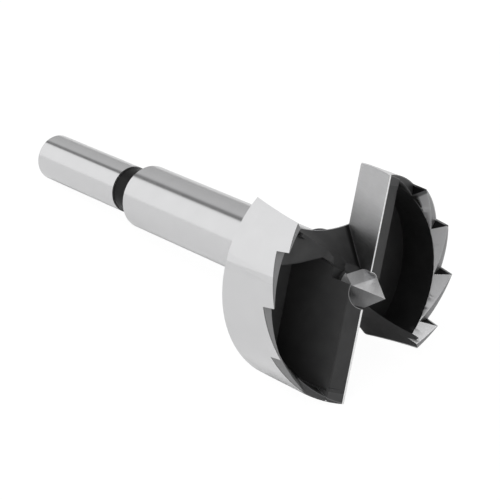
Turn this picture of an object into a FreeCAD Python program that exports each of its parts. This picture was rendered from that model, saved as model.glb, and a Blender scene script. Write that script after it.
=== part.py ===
import FreeCAD, Part

import math
import os

import Sketcher
from FreeCAD import Placement, Rotation, Vector

# A saw-tooth forstner bit, one piece of steel: a turned shank with a relief neck, and a head of
# two equal lobes. Each lobe has a straight lifting blade, a toothed rim bevelled inside and a
# pocket behind the blade. A scooped throat lies ahead of each blade, and a three-sided spur
# stands at the centre. The bit is made upright, with its chuck end at zero and the first blade
# along +X, and then laid down as it comes to rest.

NODE = "forstner_bit"

# Name, value in millimetres or degrees, and meaning. Heights run along the axis from the chuck
# end. Places in the head are given for the first lobe, and the second is half a turn round.
SIZES = [
    ("chuck_radius", 4.0, "ground chuck end"),
    ("chuck_chamfer", 0.45, "chamfer at the end of the chuck end"),
    ("neck_start", 23.2, "height where the relief neck starts"),
    ("neck_radius", 3.8, "relief neck"),
    ("stem_start", 27.9, "height where the stem starts"),
    ("stem_radius", 5.36, "stem"),
    ("stem_chamfer", 0.3, "chamfer at the start of the stem"),
    ("head_start", 70.3, "height of the back of the head"),
    ("head_front", 82.5, "height of the tooth tips and cutting edges"),
    ("head_radius", 17.5, "radius over the teeth"),
    ("head_chamfer", 0.3, "chamfer round the back of the head"),
    ("root_radius", 0.8, "bevel where the stem meets the head"),
    ("blade_run", 5.65, "how far the lifting face leans back over the head's height"),
    ("scoop_radius", 19.5, "round cutter that scoops the throat"),
    ("scoop_back_x", 25.39, "centre of the scoop at the back of the head"),
    ("scoop_back_y", 0.85, "centre of the scoop at the back of the head"),
    ("scoop_front_x", 19.38, "centre of the scoop at the tooth tips"),
    ("scoop_front_y", -2.18, "centre of the scoop at the tooth tips"),
    ("scoop_reach", 27.0, "outer side of the scoop, clear of the head"),
    ("pocket_floor", 73.0, "height of the pocket's floor"),
    ("pocket_radius", 16.0, "inside of the toothed rim"),
    ("pocket_top_corner", -1.92, "pocket's corner by the spur, X above the teeth"),
    ("pocket_floor_corner", -4.34, "pocket's corner by the spur, X at the floor"),
    ("pocket_tail", -7.84, "pocket's corner by the tail of the rim, X"),
    ("land_width", 2.5, "ground land behind the cutting edge"),
    ("land_angle", 15.3, "fall of the land behind the cutting edge"),
    ("land_reach", 3.7, "how far back the land's wheel cuts"),
    ("gullet_height", 80.0, "height of the bottom of the tooth gaps"),
    ("tip_flat", 0.12, "width of the flat on a tooth's tip"),
    ("bevel_start", -8.8, "direction of the leading end of the inner bevel"),
    ("bevel_end", -130.0, "direction past the tail of the lobe"),
    ("tooth_pitch", 27.2, "turn from one tooth tip to the next"),
    ("tooth_skew", 33.0, "turn of a tooth's face from the radius"),
    ("tooth_lean", 0.35, "how far a tooth's face leans forward at its foot"),
    ("tooth_run", 7.9, "length from one tooth's face up to the next tip"),
    ("tooth_cut", 7.0, "width of the cutter for the tooth gaps"),
    ("cut_over", 1.0, "how far cutters reach past the front"),
    ("spur_tip", 86.5, "height of the point of the spur"),
    ("spur_radius", 2.8, "round root of the spur"),
    ("spur_root", 76.5, "height of the bottom of the spur's root"),
    ("spur_seat", 77.0, "height where the blades meet the spur's root"),
    ("spur_slope", 0.622, "width of the spur's edges for each millimetre below its point"),
    ("spur_turn", 14.65, "direction of the spur's first edge"),
]


def add_sheet(doc):
    """The driving dimensions, one named cell for each."""
    sheet = doc.addObject("Spreadsheet::Sheet", "sizes")
    for row, (name, value, note) in enumerate(SIZES, start=1):
        sheet.set(f"A{row}", name)
        sheet.set(f"B{row}", str(value))
        sheet.setAlias(f"B{row}", name)
        sheet.set(f"C{row}", note)
    doc.recompute()
    return sheet


def add_sketch(body, name, plane, corners, arcs=None, offset=None):
    """A closed outline on one of the body's planes. Corners are pairs of expressions, each held
    by a bound distance from the sketch's axes. Arcs give, for a side's index, its radius and the
    side of the chord that it bulges to: 1 to the left of the way round, -1 to the right."""
    sketch = body.newObject("Sketcher::SketchObject", name)
    base = next(f for f in body.Origin.OriginFeatures if f.Role == plane)
    sketch.AttachmentSupport = [(base, "")]
    sketch.MapMode = "FlatFace"
    sketch.AttachmentOffset = Placement(Vector(), Rotation(Vector(0, 1, 0), 1))
    for path, expression in {"Rotation.Angle": "0", **(offset or {})}.items():
        sketch.setExpression(f"AttachmentOffset.{path}", expression)
    arcs = arcs or {}
    spots = [Vector(*[float(sketch.evalExpression(e)) for e in corner], 0) for corner in corners]
    count = len(spots)
    ends = []
    for i, start in enumerate(spots):
        end = spots[(i + 1) % count]
        if i not in arcs:
            sketch.addGeometry(Part.LineSegment(start, end))
            ends.append((1, 2))
            continue
        radius = float(sketch.evalExpression(arcs[i][0]))
        chord = end - start
        left = Vector(-chord.y, chord.x, 0).normalize() * arcs[i][1]
        rise = radius - math.sqrt(radius**2 - chord.Length**2 / 4)
        arc = Part.Arc(start, (start + end) * 0.5 + left * rise, end)
        sketch.addGeometry(arc)
        ends.append((2, 1) if arcs[i][1] > 0 else (1, 2))
    for i in range(count):
        last = i - 1 if i else count - 1
        sketch.addConstraint(Sketcher.Constraint("Coincident", last, ends[last][1], i, ends[i][0]))
    for i, corner in enumerate(corners):
        for kind, expression, value in (
            ("DistanceX", corner[0], spots[i].x),
            ("DistanceY", corner[1], spots[i].y),
        ):
            held = sketch.addConstraint(Sketcher.Constraint(kind, -1, 1, i, ends[i][0], value))
            sketch.setExpression(f"Constraints[{held}]", expression)
    for i, (expression, _) in arcs.items():
        radius = float(sketch.evalExpression(expression))
        held = sketch.addConstraint(Sketcher.Constraint("Radius", i, radius))
        sketch.setExpression(f"Constraints[{held}]", expression)
    return sketch


def add_blank(body):
    """The turned blank: chuck end, neck, stem, and a head with a seat for the spur."""
    corners = [
        ("0", "0"),
        ("sizes.chuck_radius - sizes.chuck_chamfer", "0"),
        ("sizes.chuck_radius", "sizes.chuck_chamfer"),
        ("sizes.chuck_radius", "sizes.neck_start"),
        ("sizes.neck_radius", "sizes.neck_start"),
        ("sizes.neck_radius", "sizes.stem_start"),
        ("sizes.stem_radius - sizes.stem_chamfer", "sizes.stem_start"),
        ("sizes.stem_radius", "sizes.stem_start + sizes.stem_chamfer"),
        ("sizes.stem_radius", "sizes.head_start - sizes.root_radius"),
        ("sizes.stem_radius + sizes.root_radius", "sizes.head_start"),
        ("sizes.head_radius - sizes.head_chamfer", "sizes.head_start"),
        ("sizes.head_radius", "sizes.head_start + sizes.head_chamfer"),
        ("sizes.head_radius", "sizes.head_front"),
        ("sizes.spur_radius", "sizes.head_front"),
        ("sizes.spur_radius", "sizes.spur_seat"),
        ("0", "sizes.spur_seat"),
    ]
    sketch = add_sketch(body, "blank_profile", "XZ_Plane", corners)
    turned = body.newObject("PartDesign::Revolution", "turned_blank")
    turned.Profile = sketch
    turned.ReferenceAxis = (sketch, ["V_Axis"])
    turned.Angle = 360
    return turned


def add_throat(body):
    """The throat ahead of the first blade: ruled between an outline at the back and one at the
    front. Its straight side is the blade's lifting face and its arc the scoop."""
    sketches = []
    for end, lean, height in (
        ("back", "-sizes.blade_run", "sizes.head_start"),
        ("front", "0", "sizes.head_front"),
    ):
        centre_x = f"sizes.scoop_{end}_x"
        centre_y = f"sizes.scoop_{end}_y"
        drop = f"({centre_y} - ({lean}))"
        corners = [
            ("sizes.scoop_reach", lean),
            ("sizes.scoop_reach", f"{centre_y} + sizes.scoop_radius"),
            (centre_x, f"{centre_y} + sizes.scoop_radius"),
            (f"{centre_x} - sqrt(sizes.scoop_radius^2 - {drop}^2)", lean),
        ]
        sketches.append(
            add_sketch(
                body,
                f"throat_{end}",
                "XY_Plane",
                corners,
                arcs={2: ("sizes.scoop_radius", -1)},
                offset={"Base.z": height},
            )
        )
    throat = body.newObject("PartDesign::SubtractiveLoft", "throat")
    throat.Profile = sketches[0]
    throat.Sections = [sketches[1]]
    throat.Ruled = True
    return throat


def add_pocket(body):
    """The pocket behind the first blade, ruled from an outline above the teeth down to one on
    its flat floor. Its blade side leans like the lifting face, so the blade is an even plate."""
    lean = "(sizes.blade_run / (sizes.head_front - sizes.head_start))"
    sketches = []
    for end, height in (
        ("top", "(sizes.head_front + sizes.cut_over)"),
        ("floor", "sizes.pocket_floor"),
    ):
        side = f"(sizes.land_width + (sizes.head_front - {height}) * {lean})"
        corners = [
            (f"sizes.pocket_{end}_corner", f"-{side}"),
            (f"sqrt(sizes.pocket_radius^2 - {side}^2)", f"-{side}"),
            (
                "sizes.pocket_tail",
                "-sqrt(sizes.pocket_radius^2 - sizes.pocket_tail^2)",
            ),
        ]
        sketches.append(
            add_sketch(
                body,
                f"pocket_{end}",
                "XY_Plane",
                corners,
                arcs={1: ("sizes.pocket_radius", 1)},
                offset={"Base.z": height},
            )
        )
    pocket = body.newObject("PartDesign::SubtractiveLoft", "pocket")
    pocket.Profile = sketches[0]
    pocket.Sections = [sketches[1]]
    pocket.Ruled = True
    return pocket


def add_bevel(body):
    """The bevel inside the teeth, from behind the land to past the lobe's tail."""
    corners = [
        ("sizes.pocket_radius", "sizes.gullet_height"),
        ("sizes.head_radius - sizes.tip_flat", "sizes.head_front"),
        ("sizes.pocket_radius", "sizes.head_front"),
    ]
    sketch = add_sketch(
        body,
        "bevel_profile",
        "XZ_Plane",
        corners,
        offset={"Rotation.Angle": "sizes.bevel_end"},
    )
    bevel = body.newObject("PartDesign::Groove", "bevel")
    bevel.Profile = sketch
    bevel.ReferenceAxis = (sketch, ["V_Axis"])
    bevel.Reversed = True
    bevel.setExpression("Angle", "sizes.bevel_start - sizes.bevel_end")
    return bevel


def add_land(body):
    """The land ground behind the first cutting edge, falling away from it."""
    fall = "sizes.land_reach * tan(sizes.land_angle * 1 deg)"
    corners = [
        ("0", "sizes.head_front"),
        ("0", "sizes.head_front + sizes.cut_over"),
        ("-sizes.land_reach", "sizes.head_front + sizes.cut_over"),
        ("-sizes.land_reach", f"sizes.head_front - {fall}"),
    ]
    sketch = add_sketch(
        body,
        "land_profile",
        "YZ_Plane",
        corners,
        offset={"Base.z": "-sizes.spur_radius"},
    )
    land = body.newObject("PartDesign::Pocket", "land")
    land.Profile = sketch
    land.Reversed = True
    land.setExpression("Length", "sizes.spur_radius + sizes.head_radius + sizes.cut_over")
    return land


def add_tooth_gap(body):
    """The gap ahead of the second tooth: a slope up from its foot to the tip ahead of it, and
    the upright face of the tooth, both along a line skewed from the radius."""
    rise = "(sizes.head_front - sizes.gullet_height)"
    over = f"(({rise} + sizes.cut_over) / {rise})"
    corners = [
        ("sizes.tooth_lean", "sizes.gullet_height"),
        (
            f"sizes.tooth_lean + (sizes.tooth_run - sizes.tooth_lean) * {over}",
            "sizes.head_front + sizes.cut_over",
        ),
        (f"sizes.tooth_lean * (1 - {over})", "sizes.head_front + sizes.cut_over"),
    ]
    sketch = add_sketch(
        body,
        "tooth_gap_profile",
        "YZ_Plane",
        corners,
        offset={
            "Base.x": "-sizes.head_radius * sin(sizes.tooth_pitch * 1 deg)",
            "Base.z": "sizes.head_radius * cos(sizes.tooth_pitch * 1 deg)",
            "Rotation.Angle": "sizes.tooth_skew - sizes.tooth_pitch",
        },
    )
    gap = body.newObject("PartDesign::Pocket", "tooth_gap")
    gap.Profile = sketch
    gap.SideType = "Symmetric"
    gap.setExpression("Length", "sizes.tooth_cut")
    return gap


def add_spur(doc):
    """The spur: a round root ground to a three-sided point."""
    root = doc.addObject("Part::Cylinder", "spur_root")
    root.setExpression("Radius", "sizes.spur_radius")
    root.setExpression("Height", "sizes.spur_tip - sizes.spur_root")
    root.setExpression("Placement.Base.z", "sizes.spur_root")
    foot = doc.addObject("Part::RegularPolygon", "spur_foot")
    foot.Polygon = 3
    foot.setExpression("Circumradius", "(sizes.spur_tip - sizes.spur_root) * sizes.spur_slope")
    foot.setExpression("Placement.Base.z", "sizes.spur_root")
    foot.setExpression("Placement.Rotation.Angle", "sizes.spur_turn")
    tip = doc.addObject("Part::Vertex", "spur_apex")
    tip.setExpression("Z", "sizes.spur_tip")
    point = doc.addObject("Part::Loft", "spur_point")
    point.Sections = [foot, tip]
    point.Solid = True
    point.Ruled = True
    spur = doc.addObject("Part::Common", "spur")
    spur.Base = root
    spur.Tool = point
    return spur


def resting_placement(sheet, shape):
    """The placement that lays the bit down. It rests on the end of its shank and on two corners
    of the rim: the first blade's outer corner, and the back corner of the other lobe's tail."""
    centre = Vector(sheet.scoop_back_x, sheet.scoop_back_y, 0)
    reach = (sheet.head_radius**2 + centre.Length**2 - sheet.scoop_radius**2) / (
        2 * sheet.head_radius * centre.Length
    )
    turn = math.atan2(centre.y, centre.x) + math.acos(reach)
    rim = sheet.head_radius
    height = sheet.head_start + sheet.head_chamfer
    near = (
        Vector(rim, 0, sheet.head_front),
        Vector(rim * math.cos(turn), rim * math.sin(turn), height),
    )
    blade, tail = [
        min((v.Point for v in shape.Vertexes), key=lambda p: p.distanceToPoint(spot))
        for spot in near
    ]

    across = (blade - tail).normalize()
    out = Vector(blade.x + tail.x, blade.y + tail.y, 0).normalize()
    out = (out - across * out.dot(across)).normalize()
    side = across.cross(out)
    if side.z > 0:
        side = side * -1

    def gap(angle):
        down = out * math.cos(angle) + side * math.sin(angle)
        ring = sheet.chuck_radius * math.hypot(down.x, down.y) + sheet.chuck_chamfer * down.z
        return down, down.dot(blade) - ring

    low, high = math.radians(40.0), 0.0
    for _ in range(60):
        middle = (low + high) / 2
        if gap(middle)[1] < 0:
            low = middle
        else:
            high = middle
    down = gap(middle)[0]
    up = down * -1
    ahead = Vector(0, 0, 1)
    ahead = (ahead - up * ahead.dot(up)).normalize()
    upright = Rotation(ahead, up.cross(ahead), up, "XZY").inverted()
    laid = shape.copy()
    laid.Placement = Placement(Vector(), upright)
    box = laid.optimalBoundingBox()
    return Placement(Vector(-box.Center.x, -box.Center.y, -box.ZMin), upright)


def add_head(doc, body):
    """Cuts both lobes out of the blank, and then all their teeth."""
    blank = add_blank(body)
    doc.recompute()
    first_lobe = [add_throat(body), add_pocket(body), add_bevel(body), add_land(body)]
    lobes = body.newObject("PartDesign::PolarPattern", "second_lobe")
    lobes.Originals = first_lobe
    lobes.Axis = (blank.Profile[0], ["V_Axis"])
    lobes.Angle = 360
    lobes.Occurrences = 2
    body.Tip = lobes
    doc.recompute()

    gap = add_tooth_gap(body)
    along_rim = body.newObject("PartDesign::PolarPattern", "gaps_of_one_lobe")
    along_rim.Axis = (blank.Profile[0], ["V_Axis"])
    along_rim.Reversed = True
    along_rim.Occurrences = 5
    along_rim.setExpression("Angle", "4 * sizes.tooth_pitch")
    both_lobes = body.newObject("PartDesign::PolarPattern", "gaps_of_both_lobes")
    both_lobes.Axis = (blank.Profile[0], ["V_Axis"])
    both_lobes.Angle = 360
    both_lobes.Occurrences = 2
    teeth = body.newObject("PartDesign::MultiTransform", "teeth")
    teeth.Originals = [gap]
    teeth.Transformations = [along_rim, both_lobes]
    body.Tip = teeth


def check(doc, part):
    """Stops unless every object was built and the part is one valid solid."""
    for item in doc.Objects:
        if "Invalid" in item.State or "Error" in item.State:
            raise RuntimeError(f"{item.Name} was not built")
    shape = part.Shape
    if shape.isNull() or not shape.isValid() or len(shape.Solids) != 1:
        raise RuntimeError(f"{part.Label} is not one valid solid")


def main():
    doc = FreeCAD.newDocument(NODE)
    sheet = add_sheet(doc)
    body = doc.addObject("PartDesign::Body", "shank_and_head")
    add_head(doc, body)
    spur = add_spur(doc)
    part = doc.addObject("Part::Fuse", NODE)
    part.Label = NODE
    part.Base = body
    part.Tool = spur
    part.Refine = True
    doc.recompute()
    check(doc, part)
    part.Placement = resting_placement(sheet, part.Shape)
    doc.recompute()
    check(doc, part)
    os.makedirs("parts", exist_ok=True)
    part.Shape.exportStep(os.path.join("parts", f"{NODE}.step"))
    print(NODE, "volume", round(part.Shape.Volume, 1), "mm3")


main()
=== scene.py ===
import bmesh
import bpy
import numpy as np
from mathutils import Matrix, Vector


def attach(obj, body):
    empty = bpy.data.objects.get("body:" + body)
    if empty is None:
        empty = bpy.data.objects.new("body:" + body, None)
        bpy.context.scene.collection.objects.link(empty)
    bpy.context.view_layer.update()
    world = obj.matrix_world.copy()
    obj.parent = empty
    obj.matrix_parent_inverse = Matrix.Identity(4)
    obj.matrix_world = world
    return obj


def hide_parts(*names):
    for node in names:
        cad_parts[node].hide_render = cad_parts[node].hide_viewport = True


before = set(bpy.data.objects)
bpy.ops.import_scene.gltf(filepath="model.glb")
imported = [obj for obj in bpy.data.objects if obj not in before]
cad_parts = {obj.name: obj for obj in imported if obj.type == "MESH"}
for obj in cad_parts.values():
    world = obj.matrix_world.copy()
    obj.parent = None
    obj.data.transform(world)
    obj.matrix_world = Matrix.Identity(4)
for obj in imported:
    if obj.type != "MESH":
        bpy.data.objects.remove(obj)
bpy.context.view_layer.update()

# The bit is one bar of tool steel, turned and then milled to a head with two toothed lobes. Its
# shank and rim stay bright, its neck and the hollows of its head are blackened, and its lifting
# faces, lands, bevels and spur are ground. It is the frame's solid with a few forms finished.
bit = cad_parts["forstner_bit"]

# The bit's own directions as it lies: the first cutting edge, the way that it cuts, and the axis
# from the chuck end to the spur. The centre of the chuck end is in millimetres, as are all sizes
# of the bit, which are given in this frame of its own.
EDGE = Vector((0.142397, -0.329936, -0.933202))
CUT = Vector((0.049769, 0.944003, -0.326160))
AXIS = Vector((0.988558, 0.0, 0.150844))
CHUCK_END = Vector((-42.4874, 0.0, 3.8864))

NECK_START = 23.2
NECK_END = 27.92
HEAD_BACK = 70.3
HEAD_FRONT = 82.5
HEAD_RADIUS = 17.5
OVER_HEAD = 83.0
POCKET_FLOOR = 73.0
POCKET_RADIUS = 16.0
SPUR_CLEAR = 2.86

# A blade's lifting face falls back by this much for each millimetre down from its edge, and its
# land drops by this much for each millimetre behind the edge.
LIFTING_SLOPE = 0.46311
LAND_SLOPE = 0.27357
LAND_RUN = 2.86
BLADE_FOOT = 79.7
BLADE_BACK = -3.8

# The bevel inside the rim starts on the pocket's wall and climbs by this much for each millimetre
# out. The wedge that cuts it is a hair deeper: its corners are radii with heights.
BEVEL_FOOT = 80.0
BEVEL_SLOPE = 1.8116
BEVEL_WEDGE = ((15.9, 79.80), (HEAD_RADIUS, 82.70), (15.9, 82.70))
BEVEL_TURN = np.arange(-8.0, -133.0, -2.0)

# The wall between the first lobe's pocket and the throat behind it has a bent ridge. The throat's
# floor climbs to it from a curve at the head's back. Both are seen along the axis.
RIDGE_HEIGHT = 79.0
RIDGE = np.array((
    (-2.2, -2.0),
    (-3.05, -4.4),
    (-4.26, -7.26),
    (-3.4, -11.5),
    (-3.1, -13.9),
    (-2.9, -15.7),
    (-2.75, -17.5),
))
THROAT_BACK = np.array((
    (-6.96, 5.21),
    (-5.96, 2.39),
    (-5.42, -0.93),
    (-5.81, -3.84),
    (-7.75, -8.05),
    (-10.81, -13.8),
    (-14.6, -20.0),
))


def solid_between(name, rings):
    """A closed solid: points i and i + 1 of a ring make a side with the same points of the next
    ring, the last point joins the first, and the first and last rings are its flat ends. Points
    go from the bit's own millimetres to metres in the frame: x, y and z times the bit's three
    directions, added up from the centre of the chuck end."""
    at = (np.asarray(rings) @ np.array((EDGE, CUT, AXIS)) + np.array(CHUCK_END)) / 1000
    count, around = at.shape[:2]
    point = np.arange(count * around).reshape(count, around)
    beside = np.roll(point, -1, axis=1)
    sides = np.stack([point[:-1], beside[:-1], beside[1:], point[1:]], axis=-1).reshape(-1, 4)
    ends = [point[0, ::-1].tolist(), point[-1].tolist()]
    mesh = bpy.data.meshes.new(name)
    mesh.from_pydata(at.reshape(-1, 3).tolist(), [], ends + sides.tolist())
    shape = bmesh.new()
    shape.from_mesh(mesh)
    bmesh.ops.recalc_face_normals(shape, faces=shape.faces)
    shape.to_mesh(mesh)
    shape.free()
    made = bpy.data.objects.new(name, mesh)
    bpy.context.collection.objects.link(made)
    return made


def turned_rings(profile, degrees):
    """A profile of radii r and heights z turned round the axis: at each angle a, its points are
    r cos a, r sin a and z."""
    angle = np.radians(degrees)[:, None]
    radius, height = np.transpose(profile)
    return np.stack(
        [radius * np.cos(angle), radius * np.sin(angle), height + np.zeros_like(angle)], axis=2
    )


def upright_rings(outline, heights):
    """An outline seen along the axis, stood up: the same x and y at each height."""
    outline = np.asarray(outline)
    return np.stack([np.column_stack([outline, np.full(len(outline), z)]) for z in heights])


def arc(radius, degrees):
    """Points on a circle round the axis: radius times cos a and sin a at each angle a."""
    angle = np.radians(degrees)
    return radius * np.column_stack([np.cos(angle), np.sin(angle)])


def bevel_wedge(side):
    """What bevels a lobe's rim on the inside: a triangle turned round the axis, from behind the
    blade to past the tail. The second lobe is half a turn on."""
    half_turn = 180.0 if side < 0 else 0.0
    return solid_between("bevel wedge", turned_rings(BEVEL_WEDGE, BEVEL_TURN + half_turn))


def blade_corner(side):
    """A blade's plate across the rim: its section lies between the lifting face, the land and a
    face behind, and is carried outwards. At radius r, the point at y has x = sqrt(r² - y²)."""
    foot = -(HEAD_FRONT - BLADE_FOOT) * LIFTING_SLOPE
    y = np.array((0.0, -LAND_RUN, BLADE_BACK, foot))
    z = np.array((HEAD_FRONT, HEAD_FRONT - LAND_RUN * LAND_SLOPE, BLADE_FOOT, BLADE_FOOT))
    radius = np.linspace(15.4, 17.42, 8)[:, None]
    x = np.sqrt(radius**2 - y**2)
    return solid_between(
        "blade corner", np.stack([side * x, side * y + 0 * x, z + 0 * x], axis=2)
    )


def throat_cutter():
    """What the throat takes from the wall: straight lines run from the curve at the head's back
    through the bent ridge and on, and all the room over them goes too. The curve is a fourth
    degree polynomial through its points, and the ridge runs straight from point to point."""
    knots = np.arange(len(RIDGE))
    steps = np.linspace(0, 6, 49)
    back = np.column_stack([
        np.polyval(np.polyfit(knots, THROAT_BACK[:, i], 4), steps) for i in (0, 1)
    ])
    ridge = np.column_stack([np.interp(steps, knots, RIDGE[:, i]) for i in (0, 1)])
    heights = np.array((HEAD_BACK - 0.05, OVER_HEAD, OVER_HEAD))
    climb = (heights - HEAD_BACK) / (RIDGE_HEIGHT - HEAD_BACK)
    rings = np.empty((len(steps), 3, 3))
    for corner in (0, 1):
        rings[:, corner, :2] = back + (ridge - back) * climb[corner]
    rings[:, 2, 0] = back[:, 0]
    rings[:, 2, 1] = np.minimum(back[:, 1], -0.3)
    rings[:, :, 2] = heights
    return solid_between("throat cutter", rings)


def pocket_bar():
    """A round bar along the axis, as wide as the pockets: a circle stood up past both ends of the
    head. What the throat cutter takes stays inside it."""
    circle = arc(POCKET_RADIUS, np.arange(0.0, 360.0, 2.0))
    return solid_between("pocket bar", upright_rings(circle, (69.0, 84.0)))


def tail_wall():
    """The wall's body: the ridge's points, an arc on the pocket's wall and two points behind it,
    stood up from just under the pocket's floor."""
    outline = np.concatenate([
        RIDGE[1:5],
        arc(POCKET_RADIUS, np.arange(-101.0, -122.1, -1.5)),
        ((-5.4, -6.6), (-3.6, -4.2)),
    ])
    return solid_between("tail wall", upright_rings(outline, (POCKET_FLOOR - 0.1, 79.6)))


def hub_clearance():
    """Room beside the spur, flat at the ridge's height: a rectangle turned round the axis."""
    reach = 6.5
    profile = (
        (SPUR_CLEAR, RIDGE_HEIGHT),
        (reach, RIDGE_HEIGHT),
        (reach, OVER_HEAD),
        (SPUR_CLEAR, OVER_HEAD),
    )
    return solid_between("hub clearance", turned_rings(profile, np.arange(-105.0, -176.1, -3.0)))


def change_by(piece, operation, tool):
    """Cuts a tool from a piece, joins it to it or keeps what they share."""
    change = piece.modifiers.new(tool.name, "BOOLEAN")
    change.operation = operation
    change.solver = "EXACT"
    change.object = tool


finished = bpy.data.objects.new("finished_bit", bit.data.copy())
finished.matrix_world = bit.matrix_world
bpy.context.collection.objects.link(finished)
weld = finished.modifiers.new("weld", "WELD")
weld.merge_threshold = 0.000002

bar = pocket_bar()
cutter = throat_cutter()
change_by(cutter, "INTERSECT", bar)
changes = [("UNION", tail_wall()), ("DIFFERENCE", cutter), ("DIFFERENCE", hub_clearance())]
for side in (1, -1):
    changes += [("DIFFERENCE", bevel_wedge(side)), ("UNION", blade_corner(side))]
for operation, tool in changes:
    change_by(finished, operation, tool)
mesh = bpy.data.meshes.new_from_object(
    finished.evaluated_get(bpy.context.evaluated_depsgraph_get())
)
finished.modifiers.clear()
finished.data = mesh
for tool in [bar] + [tool for operation, tool in changes]:
    bpy.data.objects.remove(tool)

# What the changes leave in one plane becomes one face, and points that nearly meet are joined.
shape = bmesh.new()
shape.from_mesh(mesh)
bmesh.ops.remove_doubles(shape, verts=shape.verts, dist=0.000003)
bmesh.ops.dissolve_degenerate(shape, dist=0.000004, edges=shape.edges)
bmesh.ops.dissolve_limit(shape, angle_limit=0.012, verts=shape.verts, edges=shape.edges)
shape.to_mesh(mesh)
shape.free()
mesh.polygons.foreach_set("use_smooth", [True] * len(mesh.polygons))
mesh.set_sharp_from_angle(angle=0.36)
edges = finished.modifiers.new("broken edges", "BEVEL")
edges.width = 0.00006
edges.segments = 2
edges.limit_method = "ANGLE"
edges.angle_limit = 0.72
even = finished.modifiers.new("even shading", "WEIGHTED_NORMAL")
even.keep_sharp = True


class Value:
    """A shader socket whose arithmetic adds nodes to its material."""

    def __init__(self, tree, socket):
        self.tree = tree
        self.socket = socket

    def node(self, kind, inputs, output=0, **settings):
        """Adds a node with its settings, and fills its inputs with numbers or other sockets."""
        made = self.tree.nodes.new(kind)
        for key, value in settings.items():
            setattr(made, key, value)
        for key, value in inputs.items():
            if isinstance(value, Value):
                self.tree.links.new(value.socket, made.inputs[key])
            else:
                made.inputs[key].default_value = value
        return Value(self.tree, made.outputs[output])

    def math(self, operation, *others):
        inputs = dict(enumerate((self, *others)))
        return self.node("ShaderNodeMath", inputs, operation=operation)

    def __add__(self, other):
        return self.math("ADD", other)

    __radd__ = __add__

    def __mul__(self, other):
        return self.math("MULTIPLY", other)

    __rmul__ = __mul__

    def __sub__(self, other):
        return self.math("SUBTRACT", other)

    def __rsub__(self, other):
        return self * -1 + other

    def __abs__(self):
        return self.math("ABSOLUTE")

    def dot(self, direction):
        inputs = {0: self, 1: tuple(direction)}
        return self.node("ShaderNodeVectorMath", inputs, output=1, operation="DOT_PRODUCT")

    def stretched(self, amounts):
        inputs = {0: self, 1: amounts}
        return self.node("ShaderNodeVectorMath", inputs, operation="MULTIPLY")

    def above(self, edge, blur=0.04):
        """1 above the edge and 0 below it, with a short ramp between."""
        scaled = (self - (edge - blur / 2)) * (1 / blur)
        return scaled.node("ShaderNodeClamp", {0: scaled})

    def below(self, edge, blur=0.04):
        return 1 - self.above(edge, blur)

    def near(self, reach, blur=0.04):
        """1 where the size of the value is under the reach."""
        return abs(self).below(reach, blur)

    def mix(self, other, mask):
        """This number with the other laid over it by the mask."""
        return self + (other - self) * mask


def grain(at, scale):
    """Noise about zero at a place."""
    return at.node("ShaderNodeTexNoise", {"Vector": at, "Scale": scale, "Detail": 3.0}) - 0.5


steel = bpy.data.materials.new("tool_steel")
steel.use_nodes = True
tree = steel.node_tree
surface = tree.nodes["Principled BSDF"]

# Places in the bit's own frame. The pair edge_x and edge_y lays the second lobe on the first.
place = Value(tree, tree.nodes.new("ShaderNodeTexCoord").outputs["Object"])
turn = Matrix((EDGE, CUT, AXIS))
own = place.node(
    "ShaderNodeMapping",
    {
        "Vector": place,
        "Location": -(turn @ CHUCK_END),
        "Rotation": turn.to_euler("XYZ"),
        "Scale": (1000, 1000, 1000),
    },
)
along = own.node("ShaderNodeSeparateXYZ", {0: own})
across = Value(tree, along.socket.node.outputs[1])
height = Value(tree, along.socket.node.outputs[2])
radius = (along * along + across * across).math("SQRT")
edge_x = abs(along)
edge_y = across * along.math("SIGN")
normal = Value(tree, tree.nodes.new("ShaderNodeNewGeometry").outputs["Normal"])
facing = normal.dot(AXIS)

# Where each finish lies, and where light or shade is painted on. A ridge's line parts its pocket
# from the throat behind it.
inside = height.above(HEAD_BACK + 0.15, 0.1) * radius.below(17.3, 0.1)
ahead = edge_y + (HEAD_FRONT - height) * LIFTING_SLOPE
lifting = ahead.near(0.12) * inside
bent_ridge = (edge_y * 0.3916 + 1.417).math("MINIMUM", 5.429 - edge_y * 0.161)
ridge_line = (edge_y * 0.4965 + 0.914).mix(bent_ridge, along.below(0.0))
scoop = (edge_x - ridge_line).above(0.06) * ahead.above(0.12) * inside * (1 - lifting)
land = (
    (height - HEAD_FRONT - edge_y * LAND_SLOPE).near(0.15)
    * edge_y.near(2.7)
    * height.above(81.6)
)
bevel = (
    (height - BEVEL_FOOT - (radius - POCKET_RADIUS) * BEVEL_SLOPE).near(0.12)
    * radius.above(15.88, 0.03)
    * (1 - lifting)
)
rim = radius.above(15.95) * height.above(79.7) * (1 - bevel)
rim_top = rim * facing.above(0.8, 0.1)
tail_end = scoop * edge_x.above(7.4, 0.1)
tooth_face = rim * facing.below(0.3, 0.1) * inside * (1 - lifting) * (1 - tail_end)
spur = radius.below(SPUR_CLEAR) * height.above(79.6, 0.1)
upper_facet = (along * -1.6703 + across * 0.4586).above(0.0)
neck = height.above(NECK_START, 0.08) * height.below(NECK_END, 0.08)
back = height.above(HEAD_BACK - 0.1) * height.below(HEAD_BACK + 0.06) * radius.above(6.3, 0.2)
# Painted highlight: a thin strip along each cutting edge is made pure white.
painted_edge_highlight = (
    edge_y.near(0.30, 0.04)
    * height.above(82.37)
    * edge_x.above(2.9)
    * radius.below(HEAD_RADIUS)
)
# Painted shade: the rim's top and bevel are made darker on the teeth just behind each blade.
first_tooth_painted_shade = edge_y.above(-8.6, 0.3) * edge_y.below(0.2) * edge_x.above(9.0)

# Grinding marks run round the turned parts and straight down the ground faces.
rings = grain(own.stretched((0.06, 0.06, 9.0)), 1.0)
lines = grain(own.stretched((5.0, 0.5, 0.5)), 1.0)
cloud = grain(own, 0.35)
speck = grain(own, 9.0)

# Painted sheen: each lifting face is made lighter towards the rim and darker near the centre.
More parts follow.
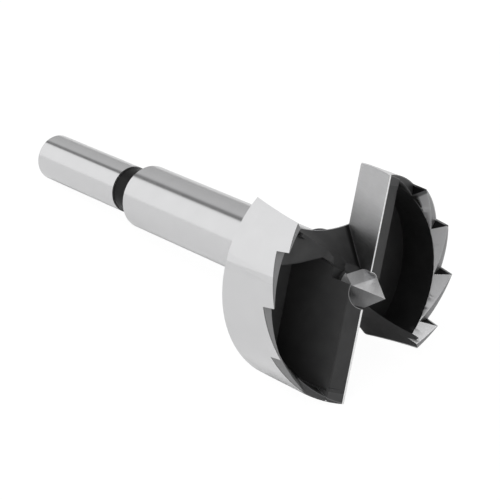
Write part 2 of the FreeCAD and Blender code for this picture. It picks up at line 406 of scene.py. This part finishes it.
lifting_tone_and_painted_sheen = (0.14 + 0.42 * edge_x.above(9.5, 7.0)) + lines * 0.12 + cloud * 0.05
# Painted shade: the bevel is made darker where across is below zero, which is one lobe, and darker
# still on the first teeth.
bevel_tone_and_painted_shade = (0.60 + speck * 0.15 - across.below(0.0) * 0.26).mix(0.20, first_tooth_painted_shade)
# Painted light: the spur's upper facet is made lighter, and lighter still near its tip.
spur_tone_and_painted_light = 0.42 + speck * 0.30 + upper_facet * (0.16 + 0.42 * height.above(82.1, 0.3))

# The tone of the turned steel, and each tone laid over it where its finish lies or light or shade
# is painted.
tone = 0.70 + cloud * 0.05 + rings * 0.04
for laid_tone, mask in (
    (0.56 + speck * 0.10, back),
    (0.062 + cloud * 0.03, inside),
    (0.078 + cloud * 0.05 + speck * 0.02, scoop),
    # Painted shade: a near black band on the scoop just ahead of each lifting face.
    (0.012, scoop * ahead.below(0.8, 0.5)),
    (lifting_tone_and_painted_sheen, lifting),
    (0.075 + cloud * 0.03, land),
    (bevel_tone_and_painted_shade, bevel),
    (0.34 + speck * 0.08, rim_top),
    # Painted shade on the rim's top by the first teeth.
    (0.10, rim_top * first_tooth_painted_shade),
    (0.02, tooth_face),
    (spur_tone_and_painted_light, spur),
    (1.0, painted_edge_highlight),
    (0.018 + rings * 0.01, neck),
):
    tone = tone.mix(laid_tone, mask)

rough = 0.17 + rings * 0.06 + cloud * 0.04
for laid_roughness, mask in (
    (0.55, inside),
    (0.42 + lines * 0.15, lifting),
    (0.48 + speck * 0.10, spur),
    (0.42 + rings * 0.10, neck),
):
    rough = rough.mix(laid_roughness, mask)

marks = (rings * 0.5).mix(lines, lifting).mix(speck, spur).mix(speck * 0.5, inside * (1 - lifting))
colour = tone.node("ShaderNodeCombineColor", {0: tone, 1: tone, 2: tone * 1.01})
bumped = marks.node("ShaderNodeBump", {"Height": marks, "Strength": 0.12, "Distance": 0.00004})
surface.inputs["Metallic"].default_value = 1.0
tree.links.new(colour.socket, surface.inputs["Base Color"])
tree.links.new(rough.socket, surface.inputs["Roughness"])
tree.links.new(bumped.socket, surface.inputs["Normal"])

mesh.materials.clear()
mesh.materials.append(steel)
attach(finished, "root")
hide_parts("forstner_bit")

# A plain white bench carries the bit. It is matt paper that the camera sees nearly as pure white,
# with a soft shadow where the bit touches it.
FLOOR_HALF = 3.0
paper = bpy.data.materials.new("paper")
paper.use_nodes = True
floor_tree = paper.node_tree
floor_surface = floor_tree.nodes["Principled BSDF"]
floor_surface.inputs["Base Color"].default_value = (0.86, 0.86, 0.86, 1)
floor_surface.inputs["Roughness"].default_value = 0.7
floor_surface.inputs["Specular IOR Level"].default_value = 0.1
ray = Value(floor_tree, floor_tree.nodes.new("ShaderNodeLightPath").outputs["Is Camera Ray"])
white = ray.node("ShaderNodeEmission", {"Color": (1, 1, 1, 1), "Strength": 1.06})
lit = Value(floor_tree, floor_surface.outputs["BSDF"])
seen = ray.node("ShaderNodeMixShader", {0: ray * 0.9, 1: lit, 2: white})
floor_tree.links.new(seen.socket, floor_tree.nodes["Material Output"].inputs["Surface"])
sheet = bpy.data.meshes.new("floor")
corners = np.array(((-1, -1, 0), (1, -1, 0), (1, 1, 0), (-1, 1, 0))) * FLOOR_HALF
sheet.from_pydata(corners.tolist(), [], [(0, 1, 2, 3)])
floor = bpy.data.objects.new("floor", sheet)
sheet.materials.append(paper)
bpy.context.collection.objects.link(floor)

# The key light is a soft box, high over the bit and ahead of it, turned to the bit's middle.
KEY_PLACE = Vector((0.05, -0.35, 0.75))
KEY_AIM = Vector((0.01, 0, 0.015))
key_light = bpy.data.lights.new("key", "AREA")
key_light.shape = "RECTANGLE"
key_light.size = 0.55
key_light.size_y = 0.35
key_light.energy = 2.0
key = bpy.data.objects.new("key", key_light)
key.location = KEY_PLACE
key.rotation_euler = (KEY_PLACE - KEY_AIM).to_track_quat("Z", "Y").to_euler()
bpy.context.collection.objects.link(key)

# The studio round it is light grey, with a bright panel whose edge is a dark gap. Its bands run
# along the bit, so that they lie as stripes on the turned steel. Angles round it are in degrees.
OVER = Vector((-0.121, 0.596, 0.7935))
FRONT = Vector((-0.0899, -0.803, 0.590))
DEGREES = 57.3
world = bpy.data.worlds.new("studio")
world.use_nodes = True
world_tree = world.node_tree
background = world_tree.nodes["Background"]
background.inputs["Color"].default_value = (1, 1, 1, 1)
sky = Value(world_tree, world_tree.nodes.new("ShaderNodeTexCoord").outputs["Generated"])
turned_to = sky.dot(OVER).math("ARCTAN2", sky.dot(FRONT)) * DEGREES
panel = turned_to.above(-32, 16) * turned_to.below(47, 3)
gap = turned_to.above(47, 3) * turned_to.below(62, 8)
level = 0.60 + panel * 0.42 - gap * 0.42 - turned_to.above(100, 60) * 0.12
world_tree.links.new(level.socket, background.inputs["Strength"])
bpy.context.scene.world = world
bpy.context.scene.view_settings.view_transform = "Standard"

# The camera stands ahead of the bit, to its right and above it, with a long lens.
CAMERA_PLACE = Vector((0.215262, -0.167217, 0.167211))
CAMERA_RIGHT = Vector((0.627808, 0.778277, 0.016412))
CAMERA_UP = Vector((-0.407144, 0.310270, 0.859065))
lens = bpy.data.cameras.new("camera")
lens.lens = 140.69
lens.sensor_width = 36
camera = bpy.data.objects.new("camera", lens)
facing_back = CAMERA_RIGHT.cross(CAMERA_UP)
turned_camera = Matrix((CAMERA_RIGHT, CAMERA_UP, facing_back)).transposed().to_4x4()
camera.matrix_world = Matrix.Translation(CAMERA_PLACE) @ turned_camera
bpy.context.collection.objects.link(camera)
bpy.context.scene.camera = camera
